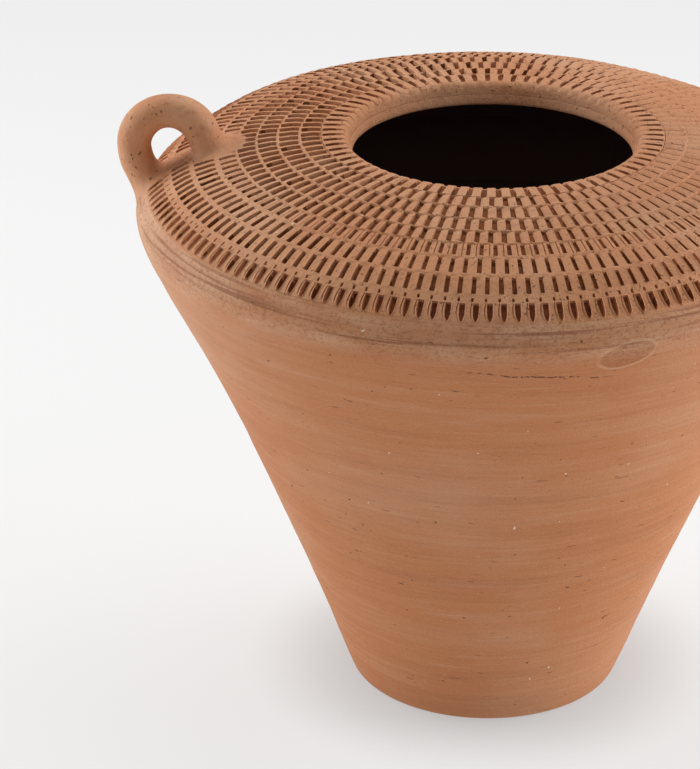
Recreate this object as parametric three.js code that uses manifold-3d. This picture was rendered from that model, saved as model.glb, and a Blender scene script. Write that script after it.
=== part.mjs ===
// Large unglazed terracotta floor jar with two lug handles, used as a planter.
// It is built as a potter builds it: a floor slab, four thrown wall sections stacked
// joint on joint, a thrown lip set into the shoulder, and two pulled coils luted on.
// Millimetres, +Z up. The origin is the centre of the underside, the front faces -Y
// and the two handles stand on the X axis.

import * as THREE from 'three';
import { mergeVertices } from 'three/addons/utils/BufferGeometryUtils.js';
import Module from 'manifold-3d';

const wasm = await Module();
wasm.setup();

// ---------------------------------------------------------------- driving dimensions

// Clay
const wallThickness = 14; // measured level, through the cone of the wall
const floorThickness = 16;
const drainHoleRadius = 11;
const seatGap = 0.3; // clearance where a curved face meets its neighbour

// The thrown sections, each standing on the one below: outer radius at its top joint,
// and how far it rises
const footRadius = 97; // where the wall's cone meets the ground
const footEdgeRadius = 5; // worn edge under the foot
const footTopRadius = 137;
const footTopHeight = 105;
const bodyTopRadius = 222;
const bodyRise = 193;
const bellyFlare = 22.5; // from the body's top joint out to the belly's
const bellyRise = 44;
const bellySwell = 1.6; // how far the belly stands out from a straight cone
const bodyTopHeight = footTopHeight + bodyRise;
const bellyTopRadius = bodyTopRadius + bellyFlare;
const bellyTopHeight = bodyTopHeight + bellyRise;

// Shoulder: out to the widest girth, then up over the brow and in across the crown
const girthFlare = 5.5;
const girthRise = 20;
const browInset = 38; // from the girth in to the brow
const browRise = 35.7;
const browSlope = 0.4; // fall per millimetre where the brow begins
const crownFlatRadius = 112; // from here inwards the crown is level
const crownRise = 19.3;
const girthRadius = bellyTopRadius + girthFlare;
const girthHeight = bellyTopHeight + girthRise;
const browRadius = girthRadius - browInset;
const browHeight = girthHeight + browRise;
const crownHeight = browHeight + crownRise;

// Mouth and lip
const mouthRadius = 97.5; // clear opening at the lower edge of the throat
const throatRadius = 100; // at the joint under the lip
const lipCrestRadius = 106;
const lipOuterRadius = 120;
const lipThickness = 9;
const lipSeatHeight = crownHeight - lipThickness;

// Roller stamping. A course is as broad as its roller, and its stamps stand one pitch
// apart. `turn` is where its first stamp stands, in pitches round from the front.
const lipRoller = { pitch: 9.6, turn: 0.48 };
const shoulderRollers = [
  { breadth: 14.7, pitch: 9.2, turn: 0.0 },
  { breadth: 15.5, pitch: 9.06, turn: 0.55 },
  { breadth: 14.8, pitch: 8.94, turn: 0.27 },
  { breadth: 13.8, pitch: 8.94, turn: 0.97 },
  { breadth: 14.5, pitch: 8.94, turn: 0.36 },
  { breadth: 17.4, pitch: 8.89, turn: 0.2 },
  { breadth: 15.9, pitch: 8.76, turn: 0.81 },
];
const leafRoller = { breadth: 8.8, pitch: 9.09, turn: 0.03 };
const plainBandBreadth = 4.3; // between the last oblong stamps and the leaves
const lastCourseInset = 10; // from the girth to the points of the leaves
const landWidth = 1; // smooth clay left between two courses

// Pits, pressed to their full depth between these shares of a course's breadth, from its
// inner land outwards
const oblongPit = { depth: 3, floor: [0.12, 0.88] };
const leafPit = { depth: 3, floor: [0.35] };
const lipPit = { depth: 1.6, floor: [0.5] };

// Handles: a pulled coil bent over a finger hole, standing in the jar's own radial plane
const coilThickness = 25;
const coilBreadth = 27;
const fingerHoleRadius = 12.8;
const loopInset = 23.8; // from the girth in to the centre of the finger hole
const loopRise = 42; // from the girth up to the centre of the finger hole
const loopCentreRadius = girthRadius - loopInset;
const loopCentreHeight = girthHeight + loopRise;
const outerFootFlare = 9; // extra half thickness where the coil is smeared on the wall
const innerFootFlare = 17; // extra half thickness where it is smeared over the crown

const frontAngle = -Math.PI / 2; // the front faces -Y

// Facets
const segments = 60; // round the jar
const coilSides = 12;
const coilSteps = 23;
const faceSteps = 6; // along each curved face of the shoulder
const undersideSteps = 3;

const terracotta = { colour: 0xb98a6a, roughness: 0.93 };
const paleTerracotta = { colour: 0xc49a7c, roughness: 0.95 };

// ---------------------------------------------------------------------- the profile

const point = (radius, height) => new THREE.Vector2(radius, height);

const mix = (a, b, share) => a + (b - a) * share;

// Outer radius of the foot's cone at a height.
const footConeRadius = (height) => mix(footRadius, footTopRadius, height / footTopHeight);

// Moves an open profile sideways, towards the clay's inside, by a distance.
function offsetProfile(points, distance) {
  return points.map((current, index) => {
    const before = points[Math.max(index - 1, 0)];
    const after = points[Math.min(index + 1, points.length - 1)];
    const along = after.clone().sub(before).normalize();
    return point(current.x - along.y * distance, current.y + along.x * distance);
  });
}

// The foot's worn edge, from the flat underside round to the cone.
function footEdge() {
  const edgeHeight = footEdgeRadius;
  const edgeTop = point(footConeRadius(edgeHeight), edgeHeight);
  const edgeStart = point(footRadius - footEdgeRadius, 0);
  return new THREE.QuadraticBezierCurve(edgeStart, point(footRadius, 0), edgeTop).getPoints(2);
}

// The belly's outer face, a cone with a slight swell.
function bellyFace() {
  const foot = point(bodyTopRadius, bodyTopHeight);
  const top = point(bellyTopRadius, bellyTopHeight);
  const middle = foot.clone().add(top).multiplyScalar(0.5);
  const outwards = point(top.y - foot.y, foot.x - top.x).normalize();
  middle.add(outwards.multiplyScalar(2 * bellySwell));
  return new THREE.QuadraticBezierCurve(foot, middle, top).getPoints(2);
}

// The shoulder's outer face from the belly joint out to the girth and over the brow.
function browFace(steps = faceSteps) {
  const rise = girthHeight - bellyTopHeight;
  const belly = point(bellyTopRadius, bellyTopHeight);
  const girth = point(girthRadius, girthHeight);
  const brow = point(browRadius, browHeight);
  const turn = new THREE.QuadraticBezierCurve(belly, point(girthRadius, girthHeight - rise / 3), girth);
  const reach = (girthRadius - browRadius) * 0.27;
  const browHandle = point(browRadius + reach, browHeight - reach * browSlope);
  const girthHandle = point(girthRadius, mix(girthHeight, browHeight, 0.4));
  const over = new THREE.CubicBezierCurve(girth, girthHandle, browHandle, brow);
  return [...turn.getPoints(2), ...over.getPoints(steps).slice(1)];
}

// The crown, from the brow in to where it runs level.
function crownFace(steps = faceSteps) {
  const brow = point(browRadius, browHeight);
  const flat = point(crownFlatRadius, crownHeight);
  const control = point(mix(crownFlatRadius, browRadius, 0.47), mix(crownHeight, browHeight, 0.1));
  return new THREE.QuadraticBezierCurve(brow, control, flat).getPoints(steps);
}

// Height of the jar's upper face at a radius, read off the corners of its profile.
function upperFaceHeight(radius) {
  const upper = [...browFace(), ...crownFace().slice(1)].filter((corner) => corner.y >= girthHeight);
  const index = upper.findIndex((corner, place) => place > 0 && corner.x <= radius);
  if (index < 0) return crownHeight;
  const outer = upper[index - 1];
  const inner = upper[index];
  return mix(outer.y, inner.y, (outer.x - radius) / (outer.x - inner.x));
}

const upperFace = (radius) => point(radius, upperFaceHeight(radius));

// ---------------------------------------------------------------- geometry helpers

// Revolves a closed profile of [radius, height] corners round the jar's axis.
function revolve(corners, steps = segments) {
  const closed = [...corners, corners[0].clone()];
  const geometry = new THREE.LatheGeometry(closed, steps);
  geometry.rotateX(Math.PI / 2);
  return geometry;
}

// A closed shell through rings round the axis, in order from the outer face over the
// top and back inside. Rings may differ in their number of corners, and `turn` is where
// a ring's first corner stands, in steps round from the front. After a ring that has a
// pit, one is pressed between each two of its corners and those of the next ring.
function ringShell(stations) {
  const positions = [];
  const triangles = [];
  const addCorner = (radius, angle, height) => {
    positions.push(radius * Math.cos(angle), radius * Math.sin(angle), height);
    return positions.length / 3 - 1;
  };
  const angleOf = (ring, index) => frontAngle + (2 * Math.PI * (index + ring.turn)) / ring.count;
  const rings = stations.map((station) => {
    const ring = { count: segments, turn: 0, ...station };
    const indices = Array.from({ length: ring.count }, (_, index) => index);
    ring.corners = indices.map((index) => addCorner(ring.radius, angleOf(ring, index), ring.height));
    return ring;
  });
  const corner = (ring, index) => ring.corners[(index + ring.count) % ring.count];

  const stitch = (ring, next) => {
    const lead = Math.round((ring.turn / ring.count) * next.count - next.turn);
    let [i, j] = [0, 0];
    while (i < ring.count || j < next.count) {
      const ringIsBehind = angleOf(ring, i + 1) <= angleOf(next, lead + j + 1);
      if (j >= next.count || (i < ring.count && ringIsBehind)) {
        triangles.push(corner(ring, i), corner(ring, i + 1), corner(next, lead + j));
        i += 1;
      } else {
        triangles.push(corner(ring, i), corner(next, lead + j + 1), corner(next, lead + j));
        j += 1;
      }
    }
  };

  const stamp = (ring, next) => {
    for (let index = 0; index < ring.count; index += 1) {
      const middle = angleOf(ring, index + 0.5);
      const floor = ring.pit.floor.map((share) => {
        const radius = mix(next.radius, ring.radius, share);
        return addCorner(radius, middle, upperFaceHeight(radius) - ring.pit.depth);
      });
      const [innerEnd, outerEnd] = [floor[0], floor[floor.length - 1]];
      const [left, right] = [corner(ring, index), corner(ring, index + 1)];
      const [innerLeft, innerRight] = [corner(next, index), corner(next, index + 1)];
      triangles.push(left, right, outerEnd, innerRight, innerLeft, innerEnd);
      triangles.push(right, innerRight, innerEnd, innerLeft, left, outerEnd);
      if (innerEnd === outerEnd) continue;
      triangles.push(right, innerEnd, outerEnd, innerLeft, outerEnd, innerEnd);
    }
  };

  rings.forEach((ring, index) => {
    const next = rings[(index + 1) % rings.length];
    if (ring.pit) stamp(ring, next);
    else stitch(ring, next);
  });
  const geometry = new THREE.BufferGeometry();
  geometry.setAttribute('position', new THREE.Float32BufferAttribute(positions, 3));
  geometry.setIndex(triangles);
  geometry.computeVertexNormals();
  return geometry;
}

const plainRing = (corner) => ({ radius: corner.x, height: corner.y });

// The two rings that bound one stamped course, from its outer edge to its inner edge.
function stampedCourse(outerRadius, innerRadius, roller, pit) {
  const [outer, inner] = [outerRadius - landWidth / 2, innerRadius + landWidth / 2];
  const count = Math.round((Math.PI * (outer + inner)) / roller.pitch);
  const turn = roller.turn - 0.5;
  return [
    { ...plainRing(upperFace(outer)), count, turn, pit },
    { ...plainRing(upperFace(inner)), count, turn },
  ];
}

// The shoulder's courses, from the leaves in to the lip, made to fill the stamped width.
function shoulderCourses(outerRadius, innerRadius) {
  const oblongs = shoulderRollers.map((roller) => ({ ...roller, pit: oblongPit }));
  const bands = [...oblongs, { breadth: plainBandBreadth }, { ...leafRoller, pit: leafPit }];
  const total = bands.reduce((sum, band) => sum + band.breadth, 0);
  const fit = (outerRadius - innerRadius) / total;
  let radius = innerRadius;
  const rings = bands.map((band) => {
    const inner = radius;
    radius += band.breadth * fit;
    return band.pit ? stampedCourse(radius, inner, band, band.pit) : [];
  });
  return rings.reverse().flat();
}

function weld(geometry) {
  const bare = geometry.clone();
  bare.deleteAttribute('normal');
  bare.deleteAttribute('uv');
  return mergeVertices(bare, 1e-4);
}

function toSolid(geometry) {
  const welded = weld(geometry);
  const mesh = new wasm.Mesh({
    numProp: 3,
    vertProperties: new Float32Array(welded.getAttribute('position').array),
    triVerts: new Uint32Array(welded.getIndex().array),
  });
  return new wasm.Manifold(mesh);
}

function fromSolid(solid) {
  const { vertProperties, triVerts } = solid.getMesh();
  const geometry = new THREE.BufferGeometry();
  geometry.setAttribute('position', new THREE.BufferAttribute(vertProperties, 3));
  geometry.setIndex(new THREE.BufferAttribute(triVerts, 1));
  geometry.computeVertexNormals();
  return geometry;
}

function piece(name, geometry, clay) {
  const material = new THREE.MeshStandardMaterial({
    color: clay.colour,
    roughness: clay.roughness,
    metalness: 0,
  });
  const mesh = new THREE.Mesh(geometry, material);
  mesh.name = name;
  return mesh;
}

// ------------------------------------------------------------------ thrown sections

// The slab that the jar stands on, with the drain hole that a planter needs.
function floorSlab() {
  const corners = [
    point(drainHoleRadius, 0),
    ...footEdge(),
    point(footConeRadius(floorThickness), floorThickness),
    point(drainHoleRadius, floorThickness),
  ];
  return piece('floor_slab', revolve(corners), terracotta);
}

function wallSection(name, outerFace, clay) {
  const joints = [outerFace[outerFace.length - 1], outerFace[0]];
  const innerFace = joints.map((corner) => point(corner.x - wallThickness, corner.y));
  return piece(name, revolve([...outerFace, ...innerFace]), clay);
}

function footWall() {
  const outerFace = [
    point(footConeRadius(floorThickness), floorThickness),
    point(footTopRadius, footTopHeight),
  ];
  return wallSection('foot_wall', outerFace, terracotta);
}

function bodyWall() {
  const outerFace = [point(footTopRadius, footTopHeight), point(bodyTopRadius, bodyTopHeight)];
  return wallSection('body_wall', outerFace, terracotta);
}

function bellyWall() {
  return wallSection('belly_wall', bellyFace(), terracotta);
}

// The shoulder closes the jar in from the girth to the throat and carries the stamped
// courses. Its inner edge is rebated, and the lip sits in the rebate.
function shoulder() {
  const rebateRadius = lipOuterRadius + seatGap;
  const stampedRadius = girthRadius - lastCourseInset;
  const throatFloor = crownHeight - wallThickness;
  const aboveUnderside = [...browFace(undersideSteps), ...crownFace(undersideSteps).slice(1)];
  const underside = offsetProfile(aboveUnderside, wallThickness)
    .filter((corner) => corner.y > bellyTopHeight + 1 && corner.x > mouthRadius + 8)
    .reverse();
  const stations = [
    ...browFace().filter((corner) => corner.x > stampedRadius + 1).map(plainRing),
    ...shoulderCourses(stampedRadius, rebateRadius),
    plainRing(upperFace(rebateRadius)),
    plainRing(point(rebateRadius, lipSeatHeight)),
    plainRing(point(throatRadius, lipSeatHeight)),
    plainRing(point(mouthRadius, mix(throatFloor, lipSeatHeight, 0.4))),
    plainRing(point(mouthRadius + 1.5, throatFloor)),
    ...underside.map(plainRing),
    plainRing(point(bellyTopRadius - wallThickness, bellyTopHeight)),
  ];
  return piece('shoulder', ringShell(stations), terracotta);
}

// The lip, a ring that rounds over from the throat to its own stamped course.
function mouthLip() {
  const crestFace = new THREE.QuadraticBezierCurve(
    point(lipCrestRadius + 2, crownHeight),
    point(lipCrestRadius - 3, crownHeight),
    point(lipCrestRadius - 4.5, crownHeight - 4),
  ).getPoints(3);
  const stations = [
    plainRing(point(throatRadius, lipSeatHeight)),
    plainRing(point(lipOuterRadius, lipSeatHeight)),
    plainRing(upperFace(lipOuterRadius)),
    ...stampedCourse(lipOuterRadius, lipCrestRadius + 2, lipRoller, lipPit),
    ...crestFace.map(plainRing),
  ];
  return piece('mouth_lip', ringShell(stations), paleTerracotta);
}

// -------------------------------------------------------------------------- handles

// Everything inside the jar's outer faces, grown by the seat gap. It trims the feet of
// the handles to the curve of the shoulder and wall.
function jarEnvelope() {
  const face = [
    point(footTopRadius, footTopHeight),
    ...bellyFace(),
    ...browFace().slice(1),
    ...crownFace().slice(1),
  ];
  const grown = offsetProfile(face, -seatGap);
  const top = grown[grown.length - 1];
  return toSolid(revolve([point(0, footTopHeight), ...grown, point(0, top.y)]));
}

// Stations along the coil: where its centre is, and half its thickness and breadth.
function coilStations() {
  const loopRadius = fingerHoleRadius + coilThickness / 2;
  const halfThick = coilThickness / 2;
  const halfBroad = coilBreadth / 2;
  const onLoop = (degrees, extra) => {
    const angle = THREE.MathUtils.degToRad(degrees);
    const reach = loopRadius + extra;
    const radius = loopCentreRadius + reach * Math.cos(angle);
    const height = loopCentreHeight + reach * Math.sin(angle);
    return [radius, height, halfThick + extra, halfBroad + extra];
  };
  const wallFoot = [
    girthRadius - coilThickness - outerFootFlare,
    girthHeight - coilThickness * 0.6,
    halfThick + outerFootFlare,
    halfBroad + outerFootFlare,
  ];
  const wallTurn = [
    loopCentreRadius + loopRadius - coilThickness * 0.3,
    girthHeight + coilThickness * 0.55,
    halfThick + outerFootFlare * 0.35,
    halfBroad + outerFootFlare * 0.45,
  ];
  const crownFoot = [
    loopCentreRadius - loopRadius - coilThickness * 0.35,
    loopCentreHeight - coilThickness * 0.4,
    halfThick + innerFootFlare,
    halfBroad + innerFootFlare,
  ];
  return [
    wallFoot,
    wallTurn,
    onLoop(0, 0),
    onLoop(45, 0),
    onLoop(90, 0),
    onLoop(135, 0),
    onLoop(160, 1),
    onLoop(176, 5),
    crownFoot,
  ];
}

// Sweeps an ellipse along the stations and closes both ends.
function coilGeometry() {
  const stations = coilStations();
  const centreLine = new THREE.CatmullRomCurve3(stations.map(([x, z]) => new THREE.Vector3(x, 0, z)));
  const halfSizes = new THREE.CatmullRomCurve3(stations.map(([, , a, b]) => new THREE.Vector3(a, b, 0)));
  const positions = [];
  const triangles = [];
  for (let step = 0; step <= coilSteps; step += 1) {
    const share = step / coilSteps;
    const centre = centreLine.getPoint(share);
    const ahead = centreLine.getTangent(share);
    const across = new THREE.Vector3(-ahead.z, 0, ahead.x);
    const size = halfSizes.getPoint(share);
    for (let side = 0; side < coilSides; side += 1) {
      const angle = (2 * Math.PI * side) / coilSides;
      const corner = centre.clone().addScaledVector(across, size.x * Math.cos(angle));
      positions.push(corner.x, size.y * Math.sin(angle), corner.z);
    }
  }
  const ring = (step, side) => step * coilSides + (side % coilSides);
  for (let step = 0; step < coilSteps; step += 1) {
    for (let side = 0; side < coilSides; side += 1) {
      const [a, b] = [ring(step, side), ring(step, side + 1)];
      const [c, d] = [ring(step + 1, side), ring(step + 1, side + 1)];
      triangles.push(a, c, b, b, c, d);
    }
  }
  for (let side = 1; side < coilSides - 1; side += 1) {
    triangles.push(ring(0, 0), ring(0, side), ring(0, side + 1));
    triangles.push(ring(coilSteps, 0), ring(coilSteps, side + 1), ring(coilSteps, side));
  }
  const geometry = new THREE.BufferGeometry();
  geometry.setAttribute('position', new THREE.Float32BufferAttribute(positions, 3));
  geometry.setIndex(triangles);
  return geometry;
}

function handles() {
  const seated = toSolid(coilGeometry()).subtract(jarEnvelope());
  const pair = new THREE.Group();
  const right = piece('handle_right', fromSolid(seated), paleTerracotta);
  const left = piece('handle_left', fromSolid(seated), paleTerracotta);
  left.rotation.z = Math.PI;
  pair.add(right, left);
  return pair;
}

// --------------------------------------------------------------------- the assembly

const jar = new THREE.Group();
jar.add(floorSlab(), footWall(), bodyWall(), bellyWall(), shoulder(), mouthLip(), handles());

export default jar;
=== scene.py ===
"""Looks of a large unglazed terracotta floor jar with a roller-stamped shoulder and two lug handles.

Lengths are in metres. The jar's axis is Z, the handles stand on X and -Y is the front.
Places on the clay's outer face are given by `run`, the way along the meridian from the crest
of the mouth outwards and down to the foot, and by the angle round the axis.
"""

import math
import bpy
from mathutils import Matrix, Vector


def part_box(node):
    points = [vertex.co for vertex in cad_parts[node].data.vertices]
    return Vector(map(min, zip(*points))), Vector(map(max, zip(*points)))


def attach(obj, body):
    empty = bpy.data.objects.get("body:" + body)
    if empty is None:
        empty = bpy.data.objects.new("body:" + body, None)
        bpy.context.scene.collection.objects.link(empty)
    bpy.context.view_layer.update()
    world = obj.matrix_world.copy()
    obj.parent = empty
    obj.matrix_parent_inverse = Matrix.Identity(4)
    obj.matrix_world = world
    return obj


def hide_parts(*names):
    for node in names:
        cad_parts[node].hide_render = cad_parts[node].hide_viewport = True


bl_info = {
    "name": "Stamped terracotta jar",
    "version": (1, 0, 0),
    "blender": (4, 5, 0),
    "location": "3D View > Sidebar > Jar",
    "description": "Models and finishes a thrown terracotta jar around its fixed frame",
    "category": "Object",
}

import bpy
import numpy as np
from bpy.props import FloatProperty, FloatVectorProperty, PointerProperty
from mathutils import Vector

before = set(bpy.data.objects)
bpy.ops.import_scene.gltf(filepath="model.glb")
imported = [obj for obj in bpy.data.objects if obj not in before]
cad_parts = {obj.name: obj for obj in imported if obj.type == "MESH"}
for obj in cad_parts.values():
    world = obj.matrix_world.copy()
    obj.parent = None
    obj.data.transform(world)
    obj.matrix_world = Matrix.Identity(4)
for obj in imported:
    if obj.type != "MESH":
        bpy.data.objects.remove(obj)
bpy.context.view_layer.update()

MM = 0.001
TURN = 2 * math.pi
BODY = "root"
PHOTO_WIDTH, PHOTO_HEIGHT = 700, 769

# ------------------------------------------------------------------ sizes read off the frame

FOOT_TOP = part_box("foot_wall")[1]
BODY_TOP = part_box("body_wall")[1]
BELLY_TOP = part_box("belly_wall")[1]
SHOULDER_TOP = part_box("shoulder")[1]
LIP_LOW, LIP_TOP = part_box("mouth_lip")
SLAB_LOW, SLAB_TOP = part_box("floor_slab")
HANDLE_LOW, HANDLE_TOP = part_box("handle_right")

GIRTH_RADIUS = SHOULDER_TOP.y
LIP_RADIUS = LIP_TOP.y

# ------------------------------------------------------------------ fixed dimensions

FRONT = -math.pi / 2  # the angle of the jar's front

WALL_SEGMENTS = 360
WALL_STEP = 2.2 * MM  # between two rings of an outer face
INNER_STEP = 12 * MM
INNER_SEGMENTS = 120
SPOT_STEP = 1 * MM  # between two spots of the outer face that distances are measured from

FOOT_EDGE = 5 * MM  # worn edge under the foot
FOOT_RADIUS = 97 * MM
GIRTH_HEIGHT = 362 * MM
BROW_RADIUS = 212 * MM
BROW_HEIGHT = 397.7 * MM
CROWN_FLAT_RADIUS = 112 * MM
LIP_CREST_RADIUS = 106 * MM
THROAT_RADIUS = 100 * MM
MOUTH_RADIUS = 97.4 * MM
MOUTH_HEIGHT = 400.7 * MM

# A thumbed patch in the wall, at the right of the front. Its stain and its hollow share a height.
THUMB_ANGLE = 0.37  # radians round from the front
THUMB_HEIGHT = 353 * MM
THUMB_ROUND = 13.0  # half-breadths of the stain in a radian
THUMB_UP = 105.0  # half-heights of the stain in a metre
THUMB_SLANT = -0.3

# Shallow hollows: degrees round the axis, height, breadth, how tall and how deep.
THUMB_HOLLOW = (-69, THUMB_HEIGHT, 20 * MM, 8 * MM, 0.8 * MM)
PALM_HOLLOW = (-160, 330 * MM, 60 * MM, 14 * MM, 0.7 * MM)

# A hairline crack below the patch and to its left, by radians round from the front.
CRACK_HEIGHT = 0.3413
CRACK_FALL = 0.0229  # for each radian to the right
CRACK_HALF_BREADTH = 0.0007
CRACK_MIDDLE = 0.13
CRACK_HALF_LENGTH = 0.24

# How far the shoulder has sprung up round the back, behind the left handle.
SPRUNG = 3.0 * MM
SPRUNG_RISES = (45, 85)  # degrees round the axis
SPRUNG_SINKS = (125, 165)
SPRUNG_FROM_GIRTH = (0.362, 0.398)  # heights between which it comes in
SPRUNG_TO_CROWN = (0.411, 0.4155)  # and goes out again

HANDLE_CENTRE_RADIUS = 226.2 * MM
HANDLE_CENTRE_HEIGHT = 404 * MM
FINGER_HOLE_RADIUS = 12.8 * MM
COIL_HALF_BREADTH = 13.6 * MM
FEATHER_SINK = 1.5 * MM  # how far the smeared edge of a handle dips into the clay


# ------------------------------------------------------------------ what a user may change


def length(name, description, default):
    return FloatProperty(
        name=name, description=description, default=default, min=0.0, unit="LENGTH", precision=4
    )


def linear(hex_value):
    """A colour as it looks on screen, turned to the linear values that shaders use."""
    channels = [(hex_value >> shift & 255) / 255 for shift in (16, 8, 0)]
    return [c / 12.92 if c <= 0.04045 else ((c + 0.055) / 1.055) ** 2.4 for c in channels]


def tint(name, description, hex_value):
    return FloatVectorProperty(
        name=name, description=description, default=linear(hex_value), min=0, max=1, subtype="COLOR"
    )


class JarSizes(bpy.types.PropertyGroup):
    """Sizes of the clay that the frame leaves open."""

    clay_thickness: length("Clay thickness", "Thickness of the thrown wall", 14 * MM)
    pit_depth: length("Pit depth", "How deep the roller presses into the shoulder", 3.3 * MM)
    bead_depth: length("Bead depth", "How deep the trenches between the beads of the lip are", 2.2 * MM)
    drain_radius: length("Drain radius", "Radius of the hole in the floor", 11 * MM)
    unevenness: FloatProperty(
        name="Unevenness",
        description="How far the hand-thrown wall strays from its true profile, 1 for this jar",
        default=1.0,
        min=0.0,
        max=2.0,
        subtype="FACTOR",
    )


class JarColours(bpy.types.PropertyGroup):
    """Colours of the fired clay."""

    ochre: tint("Ochre", "The bare clay", 0xC37C4B)
    # pale also paints the sheen on the wall's left and right sides
    pale: tint("Pale", "The chalky haze on the wall", 0xD9AC8A)
    # rust and umber also make the pit clay darker and redder as painted shade, and umber darkens the inside
    # clay
    rust: tint("Rust", "Redder streaks and stains", 0x935431)
    umber: tint("Umber", "Pinholes, cracks and dirt in the clay", 0x5C351D)
    chalk: tint("Chalk", "Specks of lime", 0xEBDDCB)
    # painted shade: the jar's inside is given this dark colour for the shade that falls in it
    inside_shade_tint: tint("Inside shade", "The dark inside", 0x6A5450)


def mix(a, b, share):
    return a + (b - a) * share


def smooth(low, high, value):
    """Goes softly from 0 to 1 as the value goes from low to high."""
    share = np.clip((value - low) / (high - low), 0, 1)
    return share * share * (3 - 2 * share)


def bezier(points, steps):
    """A Bezier curve through its control points, as `steps` + 1 rows of radius and height."""
    rows = [np.asarray(p, float) for p in points]
    shares = np.linspace(0, 1, steps + 1)[:, None]
    while len(rows) > 1:
        rows = [mix(a, b, shares) for a, b in zip(rows, rows[1:])]
    return rows[0]


# ------------------------------------------------------------------ repeatable unevenness


def ripple(angle, count, seed, octaves=3):
    """A smooth wave round the jar that closes on itself, about -1 to 1, with `count` hills."""
    draws = np.random.default_rng(seed)
    total = np.zeros_like(np.asarray(angle, float))
    for octave in range(octaves):
        for _ in range(3):
            hills = max(1, int(round(count * 2**octave * draws.uniform(0.7, 1.4))))
            total = total + np.sin(hills * angle + draws.uniform(0, TURN)) / (2**octave * 3)
    return total


def lattice(seed):
    return np.random.default_rng(seed).uniform(-1, 1, (64, 64))


def clouds(x, y, seed, wrap=None):
    """Value noise on a plane, -1 to 1. `wrap` is the whole number of squares after which x repeats."""
    grid = lattice(seed)
    column, row = np.floor(x).astype(int), np.floor(y).astype(int)
    across, down = x - column, y - row
    across, down = across * across * (3 - 2 * across), down * down * (3 - 2 * down)
    after = column + 1
    if wrap:
        column, after = column % wrap, after % wrap
    column, after, row, below = column % 64, after % 64, row % 64, (row + 1) % 64
    top = mix(grid[column, row], grid[after, row], across)
    bottom = mix(grid[column, below], grid[after, below], across)
    return mix(top, bottom, down)


# ------------------------------------------------------------------ the outer face


def hermite(low, high, slope_low, slope_high, steps=40):
    """Radius as a smooth function of height between two (radius, height) points."""
    rise = high[1] - low[1]
    t = np.linspace(0, 1, steps + 1)
    radius = (
        (2 * t**3 - 3 * t**2 + 1) * low[0]
        + (t**3 - 2 * t**2 + t) * rise * slope_low
        + (3 * t**2 - 2 * t**3) * high[0]
        + (t**3 - t**2) * rise * slope_high
    )
    return np.column_stack([radius, low[1] + t * rise])


# Slopes of the wall are radius gained over height climbed.
BELLY_LEAN = 0.4  # at the belly's top joint
JOINT_SWELL = 0.05  # added to the even slope at the body's top joint


def outer_face():
    """The meridian from the crest of the mouth out over the shoulder and down to the ground."""
    crest = (LIP_CREST_RADIUS, LIP_TOP.z)
    flat = (CROWN_FLAT_RADIUS, LIP_TOP.z)
    brow = (BROW_RADIUS, BROW_HEIGHT)
    girth = (GIRTH_RADIUS, GIRTH_HEIGHT)
    # control points, which draw the outline towards them between its fixed ones
    crown_bend = (mix(CROWN_FLAT_RADIUS, BROW_RADIUS, 0.47), mix(LIP_TOP.z, BROW_HEIGHT, 0.1))
    reach = (GIRTH_RADIUS - BROW_RADIUS) * 0.27
    brow_bend = (BROW_RADIUS + reach, BROW_HEIGHT - reach * 0.4)
    girth_bend = (GIRTH_RADIUS, mix(GIRTH_HEIGHT, BROW_HEIGHT, 0.4))
    belly_top = (BELLY_TOP.y, BELLY_TOP.z)
    body_top = (BODY_TOP.y, BODY_TOP.z)
    foot_top = (FOOT_TOP.y, FOOT_TOP.z)
    foot = (FOOT_RADIUS + FOOT_EDGE * 0.4, FOOT_EDGE)
    cone = (foot_top[0] - foot[0]) / (foot_top[1] - foot[1])
    body = (body_top[0] - foot_top[0]) / (body_top[1] - foot_top[1])
    belly = (belly_top[0] - body_top[0]) / (belly_top[1] - body_top[1])
    low_joint = (cone + body) / 2
    high_joint = (body + belly) / 2 + JOINT_SWELL
    parts = [
        [crest],
        [flat],
        bezier([flat, crown_bend, brow], 40)[1:],
        bezier([brow, brow_bend, girth_bend, girth], 40)[1:],
        hermite(belly_top, girth, BELLY_LEAN, 0)[::-1][1:],
        hermite(body_top, belly_top, high_joint, BELLY_LEAN)[::-1][1:],
        hermite(foot_top, body_top, low_joint, high_joint)[::-1][1:],
        hermite(foot, foot_top, cone, low_joint)[::-1][1:],
        bezier([foot, (FOOT_RADIUS, 0), (FOOT_RADIUS - FOOT_EDGE, 0)], 8)[1:],
    ]
    return np.vstack([np.asarray(p, float) for p in parts])


OUTER = outer_face()
OUTER_RUN = np.concatenate([[0], np.cumsum(np.hypot(*np.diff(OUTER, axis=0).T))])
GIRTH_INDEX = int(np.argmax(OUTER[:, 0]))
TANGENT = np.gradient(OUTER, OUTER_RUN, axis=0)
TANGENT /= np.linalg.norm(TANGENT, axis=1)[:, None]


def run_at_radius(radius):
    """The run of a point on the shoulder, above the girth."""
    return np.interp(radius, OUTER[: GIRTH_INDEX + 1, 0], OUTER_RUN[: GIRTH_INDEX + 1])


def run_at_height(height):
    """The run of a point on the wall, below the brow."""
    return np.interp(-np.asarray(height), -OUTER[:, 1], OUTER_RUN)


def on_profile(run):
    return np.interp(run, OUTER_RUN, OUTER[:, 0]), np.interp(run, OUTER_RUN, OUTER[:, 1])


def out_of_profile(run):
    """The outward normal's parts along the radius and along the height."""
    along_radius = np.interp(run, OUTER_RUN, TANGENT[:, 0])
    along_height = np.interp(run, OUTER_RUN, TANGENT[:, 1])
    size = np.hypot(along_radius, along_height)
    return -along_height / size, along_radius / size


def at(radius, height, angle):
    radius, height, angle = np.broadcast_arrays(radius, height, angle)
    return np.stack([radius * np.cos(angle), radius * np.sin(angle), height], axis=-1)


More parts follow.
